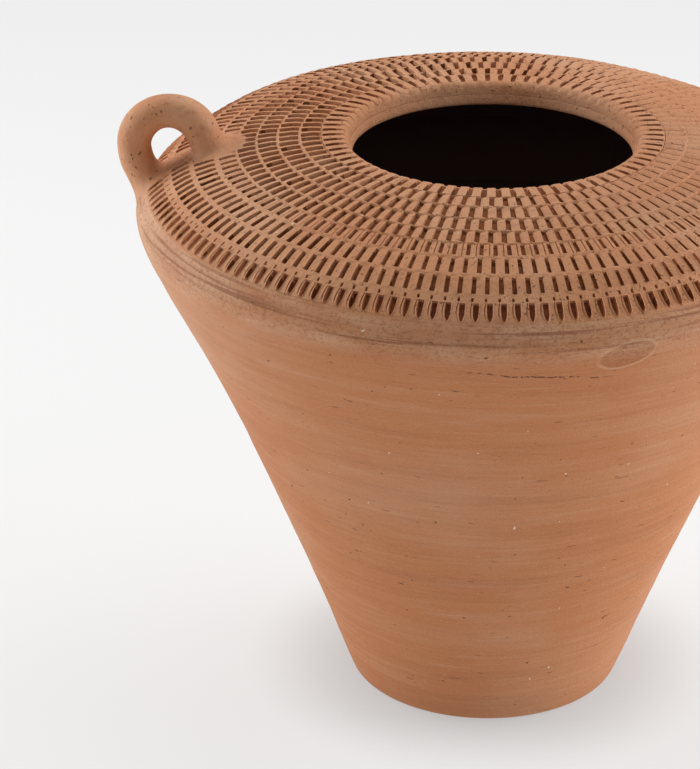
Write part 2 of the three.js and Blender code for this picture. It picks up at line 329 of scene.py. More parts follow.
def sprung(angle, height):
    """How far the shoulder has sprung up at a place."""
    place = np.degrees(angle) % 360
    round_back = smooth(*SPRUNG_RISES, place) * (1 - smooth(*SPRUNG_SINKS, place))
    from_girth = smooth(*SPRUNG_FROM_GIRTH, height)
    return SPRUNG * round_back * from_girth * (1 - smooth(*SPRUNG_TO_CROWN, height))


def raised(run, angle, lift):
    """A point that stands out of the true outer face by `lift`."""
    radius, height = on_profile(run)
    height = height + sprung(angle, height)
    out_radius, out_height = out_of_profile(run)
    return at(radius + out_radius * lift, height + out_height * lift, angle)


def hollow(angle, height, middle_angle, middle_height, breadth, tall, depth):
    """A shallow hollow that a hand left in the wall, as a depth at each place."""
    gap = (angle - math.radians(middle_angle) + math.pi) % TURN - math.pi
    across = gap * GIRTH_RADIUS / breadth
    up = (height - middle_height) / tall
    return depth * np.exp(-(across**2 + up**2) * 2)


def throwing(angle, height):
    """How far the thrown wall stands out of its true profile: wheel lines, dents and lean."""
    turn = angle / TURN
    spiral = height / (3.4 * MM) + turn
    lines = np.sin(TURN * spiral) * clouds(turn * 12, height / 0.02, 11, 12) * 0.035 * MM
    rings = clouds(np.full_like(turn, 0.3), height / (8 * MM) + turn, 13) * 0.10 * MM
    rings += clouds(np.full_like(turn, 7.3), height / (21 * MM), 14) * 0.22 * MM
    dents = clouds(turn * 9, height / 0.07, 15, 9) * 0.45 * MM
    dents += clouds(turn * 23, height / 0.03, 16, 23) * 0.12 * MM
    dents -= hollow(angle, height, *THUMB_HOLLOW)
    dents -= hollow(angle, height, *PALM_HOLLOW)
    fade = smooth(0, 12 * MM, height) * (1 - smooth(0.352, 0.362, height) * 0.85)
    uneven = bpy.context.scene.jar_sizes.unevenness
    return (lines + rings + dents) * fade * uneven - 0.1 * MM * smooth(0.345, 0.36, height)


def wall_point(run, angle):
    """A point of the thrown wall with its unevenness."""
    _, height = on_profile(run)
    return raised(run, angle, throwing(angle, height))


# ------------------------------------------------------------------ helpers for modelling


def deselect():
    for thing in bpy.context.selected_objects:
        thing.select_set(False)


def activate(piece):
    deselect()
    piece.select_set(True)
    bpy.context.view_layer.objects.active = piece


def edit(piece):
    activate(piece)
    bpy.ops.object.mode_set(mode="EDIT")
    bpy.ops.mesh.select_mode(type="VERT")
    bpy.ops.mesh.select_all(action="DESELECT")


def leave():
    bpy.ops.object.mode_set(mode="OBJECT")


def set_points(piece, points):
    piece.data.vertices.foreach_set("co", np.asarray(points, np.float32).ravel())
    piece.data.update()


def grow(name, rings):
    """A skin grown from one ring of points, extruded ring after ring to the given places."""
    count = len(rings[0])
    deselect()
    bpy.ops.mesh.primitive_circle_add(vertices=count)
    piece = bpy.context.object
    piece.name = piece.data.name = name
    order = piece.data.attributes.new("place", "INT", "POINT")
    order.data.foreach_set("value", np.arange(count, dtype=np.int32))
    edit(piece)
    bpy.ops.mesh.select_all(action="SELECT")
    for _ in rings[1:]:
        bpy.ops.mesh.extrude_edges_move()
    leave()
    total = len(piece.data.vertices)
    place = np.zeros(total, np.int32)
    piece.data.attributes["place"].data.foreach_get("value", place)
    ring = np.arange(total) // count
    set_points(piece, np.asarray(rings)[ring, place])
    piece.data.attributes.remove(piece.data.attributes["place"])
    mark = piece.data.attributes.new("rim", "INT", "POINT")
    rim = np.where(ring == 0, 1, np.where(ring == len(rings) - 1, 2, 0))
    mark.data.foreach_set("value", rim.astype(np.int32))
    return piece


def select_rims(piece, wanted):
    """Selects, in edit mode, the vertices whose rim mark is one of the wanted numbers."""
    leave()
    total = len(piece.data.vertices)
    rim = np.zeros(total, np.int32)
    piece.data.attributes["rim"].data.foreach_get("value", rim)
    piece.data.polygons.foreach_set("select", np.zeros(len(piece.data.polygons), bool))
    piece.data.edges.foreach_set("select", np.zeros(len(piece.data.edges), bool))
    piece.data.vertices.foreach_set("select", np.isin(rim, wanted))
    bpy.ops.object.mode_set(mode="EDIT")
    bpy.ops.mesh.select_mode(type="EDGE")
    bpy.ops.mesh.select_mode(type="VERT")


def close_skins(name, skins):
    """Joins skins one to the next, and the last to the first, into one closed shell.

    Skin n, counted from 0, has its first rim marked 2n + 1 and its last one 2n + 2."""
    for number, skin in enumerate(skins):
        mark = skin.data.attributes["rim"]
        rim = np.zeros(len(skin.data.vertices), np.int32)
        mark.data.foreach_get("value", rim)
        mark.data.foreach_set("value", np.where(rim > 0, rim + 2 * number, 0).astype(np.int32))
    activate(skins[0])
    for skin in skins[1:]:
        skin.select_set(True)
    if len(skins) > 1:
        bpy.ops.object.join()
    piece = skins[0]
    piece.name = piece.data.name = name
    edit(piece)
    last = 2 * len(skins)
    for number in range(len(skins)):
        near, far = 2 * number + 2, 2 * number + 3
        select_rims(piece, [near, 1 if near == last else far])
        bpy.ops.mesh.bridge_edge_loops()
    bpy.ops.mesh.select_all(action="SELECT")
    bpy.ops.mesh.normals_make_consistent(inside=False)
    leave()
    piece.data.attributes.remove(piece.data.attributes["rim"])
    return piece


def finish_piece(piece, node, materials, angle=40):
    """Smooths a piece, gives it its clays, hangs it under the jar's body and hides the node that it
    dresses.
    """
    if not piece.data.polygons:
        raise RuntimeError(f"{piece.name} has no faces")
    activate(piece)
    bpy.ops.object.shade_smooth_by_angle(angle=math.radians(angle))
    for material in materials:
        piece.data.materials.append(material)
    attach(piece, BODY)
    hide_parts(node)
    deselect()
    return piece


def face_centres(piece):
    centre = np.zeros(len(piece.data.polygons) * 3)
    piece.data.polygons.foreach_get("center", centre)
    return centre.reshape(-1, 3)


def clays_of(piece):
    """The number of the clay that each face has."""
    index = np.zeros(len(piece.data.polygons), np.int32)
    piece.data.polygons.foreach_get("material_index", index)
    return index


def set_clays(piece, index):
    piece.data.polygons.foreach_set("material_index", index.astype(np.int32))
    piece.data.update()


def depth_below_face(centre):
    """How far points lie from the true outer face, which is taken at every `SPOT_STEP`."""
    radius, height = np.hypot(centre[:, 0], centre[:, 1]), centre[:, 2]
    angle = np.arctan2(centre[:, 1], centre[:, 0])
    nearest = np.full(len(centre), 1.0)
    spots = on_profile(np.arange(0, OUTER_RUN[-1], SPOT_STEP))
    for spot_radius, spot_height in zip(*spots):
        lifted = spot_height + sprung(angle, spot_height)
        nearest = np.minimum(nearest, np.hypot(radius - spot_radius, height - lifted))
    return nearest


def paint_inside(piece, depth=6 * MM):
    """Gives clay 1 to the faces further than `depth` from the outer face, and clay 0 to the others."""
    centre = face_centres(piece)
    radius = np.hypot(centre[:, 0], centre[:, 1])
    throat = (radius < THROAT_RADIUS + 1 * MM) & (centre[:, 2] > MOUTH_HEIGHT + 0.2 * MM)
    set_clays(piece, (depth_below_face(centre) > depth) & ~throat)


# ------------------------------------------------------------------ thrown wall sections


def inner_points(runs, thickness):
    """The inner face, one clay's thickness in, as radius and height."""
    radius, height = on_profile(runs)
    out_radius, out_height = out_of_profile(runs)
    return radius - out_radius * thickness, height - out_height * thickness


def angles(count):
    return np.arange(count) * TURN / count


def thrown_rings(start, end):
    """Rings of points down the thrown outer face, from one run to another."""
    steps = int(math.ceil((end - start) / WALL_STEP))
    angle = angles(WALL_SEGMENTS)
    return [wall_point(np.full(WALL_SEGMENTS, run), angle) for run in np.linspace(start, end, steps + 1)]


def wall_section(name, top, bottom, node, thickness, materials):
    """One thrown section between two joint heights, as a closed ring of clay."""
    start, end = run_at_height(top), run_at_height(bottom)
    outer = thrown_rings(start, end)
    inner_angle = angles(INNER_SEGMENTS)
    inner_steps = max(2, int(round((end - start) / INNER_STEP)))
    radii, heights = inner_points(np.linspace(end, start, inner_steps + 1), thickness)
    heights[0], heights[-1] = max(bottom, SLAB_LOW.z), top
    if bottom <= 0:
        radii[0] = FOOT_RADIUS - FOOT_EDGE - 1 * MM
        radii[1:] = np.maximum(radii[1:], 0)
    inner = [at(r, h, inner_angle) for r, h in zip(radii, heights)]
    piece = close_skins(name, [grow(name, outer), grow(name + "_inner", inner)])
    # painted shade: faces deep inside get the dark inside clay
    paint_inside(piece)
    return finish_piece(piece, node, materials)


def floor_slab(drain_radius, materials):
    """The slab that the jar stands on, with its drain hole."""
    outline = [
        (drain_radius, 2 * MM),
        (drain_radius + 1.5 * MM, 0.2 * MM),
        (drain_radius + 6 * MM, 0.0),
        (SLAB_TOP.y * 0.6, 0.0),
        (FOOT_RADIUS - FOOT_EDGE - 1.5 * MM, 0.0),
        (FOOT_RADIUS - FOOT_EDGE - 1.3 * MM, 6 * MM),
        (SLAB_TOP.y - 1 * MM, SLAB_TOP.z - 2 * MM),
        (SLAB_TOP.y - 3 * MM, SLAB_TOP.z),
        (SLAB_TOP.y * 0.5, SLAB_TOP.z - 0.4 * MM),
        (drain_radius + 2 * MM, SLAB_TOP.z - 0.6 * MM),
        (drain_radius, SLAB_TOP.z - 2.2 * MM),
    ]
    angle = angles(INNER_SEGMENTS)
    rings = [at(r, h, angle) for r, h in outline]
    piece = close_skins("floor_slab_thrown", [grow("slab", rings)])
    return finish_piece(piece, "floor_slab", materials)


# ------------------------------------------------------------------ where the handles are luted on

HANDLE_ANGLES = (0.0, math.pi)  # right and left


class Footprint:
    """Where a handle's foot is smeared on the clay: an oval in run and breadth."""

    def __init__(self, middle, towards_mouth, towards_foot, half_breadth):
        self.run = middle
        self.towards_mouth = middle - towards_mouth
        self.towards_foot = towards_foot - middle
        self.half_breadth = half_breadth

    def distance(self, run, breadth):
        """Roughly how far a place lies outside the oval; negative inside it."""
        along = run - self.run
        length = np.where(along < 0, self.towards_mouth, self.towards_foot)
        share = np.hypot(along / length, breadth / self.half_breadth)
        return (share - 1) * (length + self.half_breadth) / 2


INNER_FOOT = Footprint(
    middle=run_at_radius(197 * MM),
    towards_mouth=run_at_radius(173 * MM),
    towards_foot=run_at_radius(214 * MM),
    half_breadth=23 * MM,
)
OUTER_FOOT = Footprint(
    middle=run_at_radius(240 * MM),
    towards_mouth=run_at_radius(226.5 * MM),
    towards_foot=run_at_height(357 * MM),
    half_breadth=21 * MM,
)
UNDER_ARCH = Footprint(
    middle=run_at_radius(222 * MM),
    towards_mouth=run_at_radius(204 * MM),
    towards_foot=run_at_radius(240 * MM),
    half_breadth=15 * MM,
)


def smeared(run, angle, radius):
    """1 where the handles' clay has been smeared over the stamping, 0 where the stamping is whole."""
    result = np.zeros_like(np.asarray(run, float))
    for number, middle in enumerate(HANDLE_ANGLES):
        gap = (angle - middle + math.pi) % TURN - math.pi
        breadth = gap * radius
        rough = clouds(breadth / (5 * MM) + 20, run / (5 * MM), 31 + number) * 1.6 * MM
        for foot in (INNER_FOOT, OUTER_FOOT, UNDER_ARCH):
            near = foot.distance(run, breadth) + rough
            result = np.maximum(result, 1 - smooth(-1.2 * MM, 1.6 * MM, near))
    return result


# ------------------------------------------------------------------ the stamped courses

LAND = 0.3 * MM  # half the breadth of the land between two courses
LAND_STRAY = 0.3 * MM  # how far a land strays from its true circle
SEAM = 0.05 * MM  # from the lip's rim to the edge of its last beads
PIT_SHADE_SHARE = 0.45  # of a pit's depth, below which a face gets the darker pit clay, painted shade
CROWN_RINGS = 16  # of the shoulder's inner face
FADING_RINGS = 5  # of the lip, over which the beads' dips fade out inwards


class Course:
    """One ring of roller stamps between two lands. `turn` is where its first stamp's middle
    stands, in pitches round from the front."""

    def __init__(self, number, count, inner, outer, turn, outer_land=LAND):
        self.number = number
        self.count = count
        self.inner = inner
        self.outer = outer
        self.outer_land = outer_land
        self.turn = turn
        self.pitch = TURN / count
        self.draws = np.random.default_rng(500 + number)

    def vary(self, size):
        return self.draws.uniform(-1, 1, self.count) * size

    def wander(self, radius, number, angle):
        """The run of a land, which strays a little from its true circle."""
        return run_at_radius(radius) + ripple(angle, 9, number) * LAND_STRAY

    def rings(self, rows, columns, lift):
        """Rings of points over the course. `columns(row)` gives the places across each stamp,
        in pitches from its middle, and `lift(row, column)` how far they stand out."""
        index = np.arange(self.count)
        rings = []
        for row, share in enumerate(rows):
            places = columns(row)
            points = np.zeros((self.count, len(places), 3))
            for column, place in enumerate(places):
                angle = FRONT + (index + self.turn + place) * self.pitch
                inner = self.wander(self.inner, self.number, angle) + LAND
                outer = self.wander(self.outer, self.number + 1, angle) - self.outer_land
                run = mix(inner, outer, share)
                radius, _ = on_profile(run)
                across = angle * radius
                # a whole stamp is rough, and one under smeared clay has settled smooth
                rough = clouds(across / (2.1 * MM), run / (2.1 * MM), 72) * 0.10 * MM
                settled = clouds(across / (7 * MM), run / (7 * MM), 71) * 0.25 * MM - 0.1 * MM
                whole = lift(row, column) + rough + self.vary(0.04 * MM)
                lifted = mix(whole, settled, smeared(run, angle, radius))
                points[:, column] = raised(run, angle, lifted)
            rings.append(points.reshape(-1, 3))
        return rings


class Oblong:
    """The stamp of one roller: a long pit with a steep side, and a pad that climbs to a crest."""

    def __init__(self, width, shelf, crown, step, start, stop, ridge=0.0, crease=0.0, rim=0.0):
        self.width = width  # of the pit, in pitches
        self.shelf = shelf  # how far the pad begins below its crest
        self.crown = crown  # how far the crest stands out
        self.step = step  # how far the inner end lies below the land above it
        self.start = start  # of the pit, as a share of the course's breadth
        self.stop = stop
        self.ridge = ridge  # a small step across the pit's floor
        self.crease = crease  # depth of a crease along the pad
        self.rim = rim  # a raised edge beside the pit

    def press(self, course, depth):
        """The rings of points over one course of these stamps."""
        count = course.count
        half = self.width / 2 + course.vary(0.012)
        skew = course.vary(0.02)
        shift = course.vary(0.02)
        deep = depth * (1 + course.vary(0.14))
        crown = self.crown * (1 + course.vary(0.3))
        nudge = course.vary(0.08 * MM)
        start = self.start + course.vary(0.01)
        stop = self.stop + course.vary(0.012)
        pad = 1 - 2 * half
        middle = (0.17, 0.26) if self.ridge else (0.36, 0.66)
        rows = [0.0, 0.028, start, start + 0.035, middle[0], middle[1], stop - 0.04, stop, 1.0]
        # columns 0 to 3 cross the pit, 4 to 6 climb the pad and 7 ends its crest
        climb = (0.58, 0.64, 0.70) if self.crease else (0.22, 0.55, 0.88)
        sunk = (0.25, 0.15, 0.0) if self.crease else (0.50, 0.18, 0.0)
        domed = (0.2, 0.35, 0.45, 0.6, 0.9, 1.0, 1.0, 0.95, 0.75)
        tilt = (0, 0, 0, 0.68, 0.85, 1.0, 1.08, 0, 0)

        def columns(row):
            lean = skew * (domed[row] - 0.5) + shift
            pit = [-half, 0.03 - half, half - 0.04, half]
            places = pit + [half + pad * share for share in climb] + [1 - half - 0.03]
            return [place + lean for place in places]

        def lift(row, column):
            lowered = self.step * (1 - smooth(0.0, 0.30, rows[row]))
            top = crown * domed[row] - lowered + nudge
            if row in (0, 8):
                return top + course.vary(0.12 * MM)
            if column in (1, 2) and 3 <= row <= 6:
                ridge = self.ridge if row == 4 else 0.0
                return top - deep * tilt[row] + ridge
            shelf = self.shelf * (1 if row < 7 else 0.5)
            if column in (2, 3):
                return top - shelf
            if column in (0, 1, 7):
                return top + self.rim
            if self.crease and column == 5:
                return top - self.crease * (1.5 if row == 6 else 1)
            return top - shelf * sunk[column - 4]

        return course.rings(rows, columns, lift)


WOVEN = Oblong(
    width=0.40, shelf=1.15 * MM, crown=0.40 * MM, step=0.30 * MM, start=0.04, stop=0.95, rim=0.15 * MM
)
CREASED = Oblong(
    width=0.33, shelf=0.6 * MM, crown=0.35 * MM, step=0.25 * MM, start=0.05, stop=0.91, crease=1.5 * MM
)
STEPPED = Oblong(
    width=0.33, shelf=0.7 * MM, crown=0.30 * MM, step=0.15 * MM, start=0.06, stop=0.93, ridge=1.1 * MM
)
RIMMED = Oblong(
    width=0.36, shelf=0.5 * MM, crown=0.20 * MM, step=0.1 * MM, start=0.07, stop=0.95, rim=0.35 * MM
)

OBLONG_COURSES = [
    (Course(2, 87, LIP_RADIUS, 135.0 * MM, 0.00), WOVEN),
    (Course(3, 99, 135.0 * MM, 150.5 * MM, 0.55), WOVEN),
    (Course(4, 111, 150.5 * MM, 165.3 * MM, 0.27), WOVEN),
    (Course(5, 121, 165.3 * MM, 179.1 * MM, 0.97), WOVEN),
    (Course(6, 131, 179.1 * MM, 193.0 * MM, 0.36), CREASED),
    (Course(7, 143, 193.6 * MM, 210.6 * MM, 0.20), STEPPED),
    (Course(8, 157, 211.2 * MM, 225.4 * MM, 0.81), RIMMED),
]
LIP_COURSE = Course(1, 74, LIP_CREST_RADIUS, LIP_RADIUS, 0.48, SEAM)
NOTCHES = Course(9, 163, 226.4 * MM, 229.9 * MM, -0.27)
LEAVES = Course(10, 163, 229.9 * MM, 241.4 * MM, 0.03)


def notch_rings(course):
    """The ring of small upright notches above the leaves."""
    deep = 1.9 * MM * (1 + course.vary(0.25))
    rows = (0.0, 0.12, 0.20, 0.88, 0.97, 1.0)
    places = (-0.10, -0.06, 0.06, 0.10, 0.36, 0.64)

    def lift(row, column):
        pressed = 2 <= row <= 3 and 1 <= column <= 2
        return -deep if pressed else np.zeros_like(deep)

    return course.rings(rows, lambda row: places, lift)


def leaf_rings(course, depth):
    """The ring of leaf-shaped pits, square above and pointed below, each beside a crescent pad."""
    deep = depth * (1 + course.vary(0.12))
    slant = course.vary(0.03)
    rows = (0.0, 0.03, 0.06, 0.15, 0.19, 0.32, 0.56, 0.80, 0.92, 0.98, 1.0)
    width = (0.22, 0.22, 0.22, 0.22, 0.22, 0.22, 0.21, 0.16, 0.09, 0.03, 0.03)
    bow = (-0.02, 0.0, 0.02, 0.05, 0.06, 0.09, 0.11, 0.04, -0.12, -0.24, -0.24)
    stairs = (0, 0, 0.7 * MM, 1.5 * MM, 0.3 * MM, 0.6 * MM, 0, 0, 1.2 * MM, 0, 0)

    def columns(row):
        half = width[row]
        wall = min(0.035, half * 0.4)
        lean = slant * (rows[row] - 0.5)
        crease = -0.33 - bow[row]
        crescent = mix(crease + 0.04, -half, 0.45)
        places = (crease, crease + 0.03, crescent, -half, wall - half, half - wall, half, half + 0.07)
        return [place + lean for place in places]

    def lift(row, column):
        flat = np.zeros_like(deep)
        if row in (0, 10):
            return flat
        if column in (4, 5) and 2 <= row <= 8:
            return stairs[row] - deep
        if column in (3, 4, 5, 6):
            return (0.6 if 7 <= row <= 9 else 0.35) * MM + flat
        if column == 0:
            return 0.2 * MM + flat
        if column == 1 and row <= 6:
            return flat - 1.1 * MM
        if column == 2:
            return 0.15 * MM + flat
        return flat - 0.12 * MM

    return course.rings(rows, columns, lift)


def bead_rings(course, depth):
    """The rounded beads of the lip, with soft trenches between them that run over its crest."""
    deep = depth * (1 + course.vary(0.2))
    crown = 0.35 * MM * (1 + course.vary(0.3))
    rows = (0.0, 0.10, 0.25, 0.50, 0.75, 0.90, 0.96, 1.0)
    places = (-0.20, -0.16, 0.13, 0.20, 0.34, 0.52, 0.68)
    trench = (0.45, 0.60, 0.80, 1.0, 1.1, 1.0, 0.1, 0.0)
    domed = (0.3, 0.7, 1.0, 1.0, 0.9, 0.7, 0.4, 0.2)
    across = (0.5, -1.0, -1.0, 0.0, 0.6, 0.9, 1.0)

    def lift(row, column):
        if across[column] < 0:
            return -deep * trench[row]
        return crown * domed[row] * across[column] - 0.2 * MM

    return course.rings(rows, lambda row: places, lift)


# the pit clay and the inside clay are painted shade, darker than the clay itself
STAMPED, PIT_SHADE, INSIDE_SHADE, BARE = range(4)  # the clays of the stamped pieces, in order


def paint_pits(piece, depth):
    """Gives the darker pit clay, painted shade, to the walls and floors of the pits."""
    centre = face_centres(piece)
    index = clays_of(piece)
    beyond_crest = np.hypot(centre[:, 0], centre[:, 1]) > LIP_CREST_RADIUS
    sunk = (depth_below_face(centre) > depth * PIT_SHADE_SHARE) & beyond_crest
    set_clays(piece, np.where((index == STAMPED) & sunk, PIT_SHADE, index))


def throat(inner_angle):
    """Rings round the throat, from under the shoulder up to the seat of the lip."""
    turned = bezier(
        [
            (MOUTH_RADIUS + 5 * MM, MOUTH_HEIGHT - 0.6 * MM),
            (MOUTH_RADIUS - 0.5 * MM, MOUTH_HEIGHT - 1.2 * MM),
            (MOUTH_RADIUS, MOUTH_HEIGHT + 1.5 * MM),
            (THROAT_RADIUS - 0.5 * MM, LIP_LOW.z - 0.3 * MM),
        ],
        8,
    )
    rings = [at(r, h, inner_angle) for r, h in turned]
    rings.append(at(THROAT_RADIUS + 0.6 * MM, LIP_LOW.z - 0.1 * MM, inner_angle))
    rings.append(at(LIP_RADIUS + 0.2 * MM, LIP_LOW.z - 0.1 * MM, inner_angle))
    return rings


def stamped_shoulder(sizes, materials):
    """The shoulder with its stamped courses, closed underneath and into the throat."""
    depth = sizes.pit_depth
    skins = [grow("course", stamp.press(course, depth)) for course, stamp in OBLONG_COURSES]
    skins.append(grow("notches", notch_rings(NOTCHES)))
    skins.append(grow("leaves", leaf_rings(LEAVES, depth)))
    start = run_at_radius(LEAVES.outer) + 1.2 * MM
    joint = run_at_height(BELLY_TOP.z)
    skins.append(grow("brow", thrown_rings(start, joint)))
    inner_angle = angles(INNER_SEGMENTS)
    inner_runs = np.linspace(joint, run_at_radius(CROWN_FLAT_RADIUS), CROWN_RINGS)
    radii, heights = inner_points(inner_runs, sizes.clay_thickness)
    heights[0] = BELLY_TOP.z
    inner = [at(r, h, inner_angle) for r, h in zip(radii, heights)]
    skins.append(grow("inner", inner + throat(inner_angle)))
    piece = close_skins("stamped_shoulder", skins)
    paint_inside(piece)
    inside = clays_of(piece) > 0
    centre = face_centres(piece)
    brow_top = on_profile(start)[1]
    below = (centre[:, 2] < brow_top) & (np.hypot(centre[:, 0], centre[:, 1]) > LEAVES.inner)
    # painted shade: the inside gets the dark inside clay
    set_clays(piece, np.where(inside, INSIDE_SHADE, np.where(below, BARE, STAMPED)))
    paint_pits(piece, depth)
    return finish_piece(piece, "shoulder", materials)


def mouth_lip(sizes, materials):
    """The beaded lip, rolled over from its crest into the throat."""
    course = LIP_COURSE
    beads = bead_rings(course, sizes.bead_depth)[::-1]
    inner_row = beads[-1]
    seat_angle = angles(len(inner_row))
    rings = [at(LIP_RADIUS - 0.15 * MM, LIP_LOW.z + 0.1 * MM, seat_angle + FRONT), *beads]
    angle = np.arctan2(inner_row[:, 1], inner_row[:, 0])
    drop = LIP_TOP.z - inner_row[:, 2]
    roll = bezier(
        [
            (LIP_CREST_RADIUS, LIP_TOP.z),
            (LIP_CREST_RADIUS - 3.4 * MM, LIP_TOP.z - 0.2 * MM),
            (THROAT_RADIUS + 0.9 * MM, LIP_TOP.z - 4.5 * MM),
            (THROAT_RADIUS, LIP_LOW.z + 0.1 * MM),
        ],
        9,
    )[1:]
    # the dips between the beads fade out as the clay rolls over into the throat
    for number, (radius, height) in enumerate(roll):
        kept = max(0.0, 1 - number / FADING_RINGS)
        rings.append(at(radius + drop * 0.5 * kept, height - drop * kept * 0.8, angle))
    piece = close_skins("mouth_lip_stamped", [grow("lip", rings)])
    # painted shade: the trenches between the beads get the darker pit clay
    paint_pits(piece, sizes.bead_depth)
    return finish_piece(piece, "mouth_lip", materials, angle=50)


# ------------------------------------------------------------------ handles

COIL_SIDES = 40
FLARE_STEPS = 12
NECK_PULL = 0.46  # of a flare's length, how far it keeps the coil's heading
EDGE_PULL = 0.50  # and how far it lies along the clay at its edge
ARCH_STEPS = 34
NECK_INNER = 160  # degrees round the loop, where the coil starts to spread on the crown
NECK_OUTER = -4  # and where it starts to spread on the girth


def coil_ring(turn_angle, side):
    """One section of the coil, a ring of points."""
    around = np.arange(COIL_SIDES) * TURN / COIL_SIDES
    alpha = math.radians(turn_angle)
    out = np.array([math.cos(alpha), math.sin(alpha)])
    share = (turn_angle - NECK_OUTER) / (NECK_INNER - NECK_OUTER)
    thickness = HANDLE_TOP.z - HANDLE_CENTRE_HEIGHT - FINGER_HOLE_RADIUS
    half = thickness / 2 * (1 + 0.03 * math.sin(share * 9 + side) - 0.02)
    reach = FINGER_HOLE_RADIUS + thickness / 2
    half_breadth = COIL_HALF_BREADTH * (1 + 0.05 * math.sin(share * 7 + 2 * side))
    along = np.sin(around) * 1.5 + share * 5 + side * 3
    squeezed = clouds(np.cos(around) * 1.5 + 9, along, 41) * 0.35 * MM
    flat = np.abs(np.cos(around)) ** 0.9 * np.sign(np.cos(around))
    radial = reach + (half + squeezed) * flat
    radius = HANDLE_CENTRE_RADIUS + out[0] * radial
    height = HANDLE_CENTRE_HEIGHT + out[1] * radial
    breadth = (half_breadth + squeezed) * np.sin(around)
    return np.column_stack([radius, breadth, height])


def on_wall(run, breadth):
    """A point of the outer face, round from the right handle's middle by `breadth`."""
    radius, height = on_profile(run)
    return at(radius, height, breadth / radius)


def flare(neck, heading, foot, outwards, seed):
    """Rings that spread from the coil's neck over the clay, from the neck to the feathered edge."""
    around = np.arange(COIL_SIDES) * TURN / COIL_SIDES
    lean = np.cos(around) * outwards
    length = np.where(lean < 0, foot.towards_mouth, foot.towards_foot)
    edge = 1 + ripple(around, 4, seed) * 0.08 * np.abs(np.sin(around))
    run = foot.run + lean * length * edge
    breadth = np.sin(around) * foot.half_breadth * edge
    end = on_wall(run, breadth)
    step = 1 * MM
    beyond = on_wall(run + lean * step, breadth + np.sin(around) * step)
    away = beyond - end
    away /= np.linalg.norm(away, axis=1)[:, None]
    gap = np.linalg.norm(end - neck, axis=1)[:, None]
    first = neck + heading * gap * NECK_PULL
    second = end - away * gap * EDGE_PULL
    rings = []
    for step_number in range(1, FLARE_STEPS + 1):
        t = step_number / FLARE_STEPS
        ring = (
            (1 - t) ** 3 * neck
            + 3 * (1 - t) ** 2 * t * first
            + 3 * (1 - t) * t * t * second
            + t**3 * end
        )
        rings.append(ring)
    out_radius, out_height = out_of_profile(run)
    sunk = end.copy()
    sunk[:, 0] -= out_radius * FEATHER_SINK
    sunk[:, 2] -= out_height * FEATHER_SINK
    rings.append(sunk + away * FEATHER_SINK)
    middle = sunk.mean(axis=0)
    rings.append(mix(sunk, middle, 0.5) - np.array([out_radius.mean(), 0, out_height.mean()]) * 3 * MM)
    return rings


def handle(side, node, materials):
    """A pulled coil bent over a finger hole and smeared on at both feet. Side 0 is the left one."""
    turns = np.linspace(NECK_INNER, NECK_OUTER, ARCH_STEPS + 1)
    arch = [coil_ring(turn, side) for turn in turns]
    heading_in = np.array([-math.sin(math.radians(NECK_INNER)), 0, math.cos(math.radians(NECK_INNER))])
    heading_out = np.array([math.sin(math.radians(NECK_OUTER)), 0, -math.cos(math.radians(NECK_OUTER))])
    inner = flare(arch[0], heading_in, INNER_FOOT, -1, 200 + side)
    outer = flare(arch[-1], heading_out, OUTER_FOOT, 1, 210 + side)
    rings = [*inner[::-1], *arch, *outer]
    turned = HANDLE_ANGLES[1 - side]
    placed = []
    for ring in rings:
        x = ring[:, 0] * math.cos(turned) - ring[:, 1] * math.sin(turned)
        y = ring[:, 0] * math.sin(turned) + ring[:, 1] * math.cos(turned)
        placed.append(np.column_stack([x, y, ring[:, 2]]))
    piece = grow(node + "_coil", placed)
    edit(piece)
    for rim in (1, 2):
        select_rims(piece, [rim])
        bpy.ops.mesh.edge_face_add()
    bpy.ops.mesh.select_all(action="SELECT")
    bpy.ops.mesh.normals_make_consistent(inside=False)
    leave()
    piece.data.attributes.remove(piece.data.attributes["rim"])
    soften = piece.modifiers.new("soften", "SUBSURF")
    soften.levels = soften.render_levels = 1
    bpy.ops.object.modifier_apply(modifier=soften.name)
    return finish_piece(piece, node, materials, angle=60)


# ------------------------------------------------------------------ fired clay


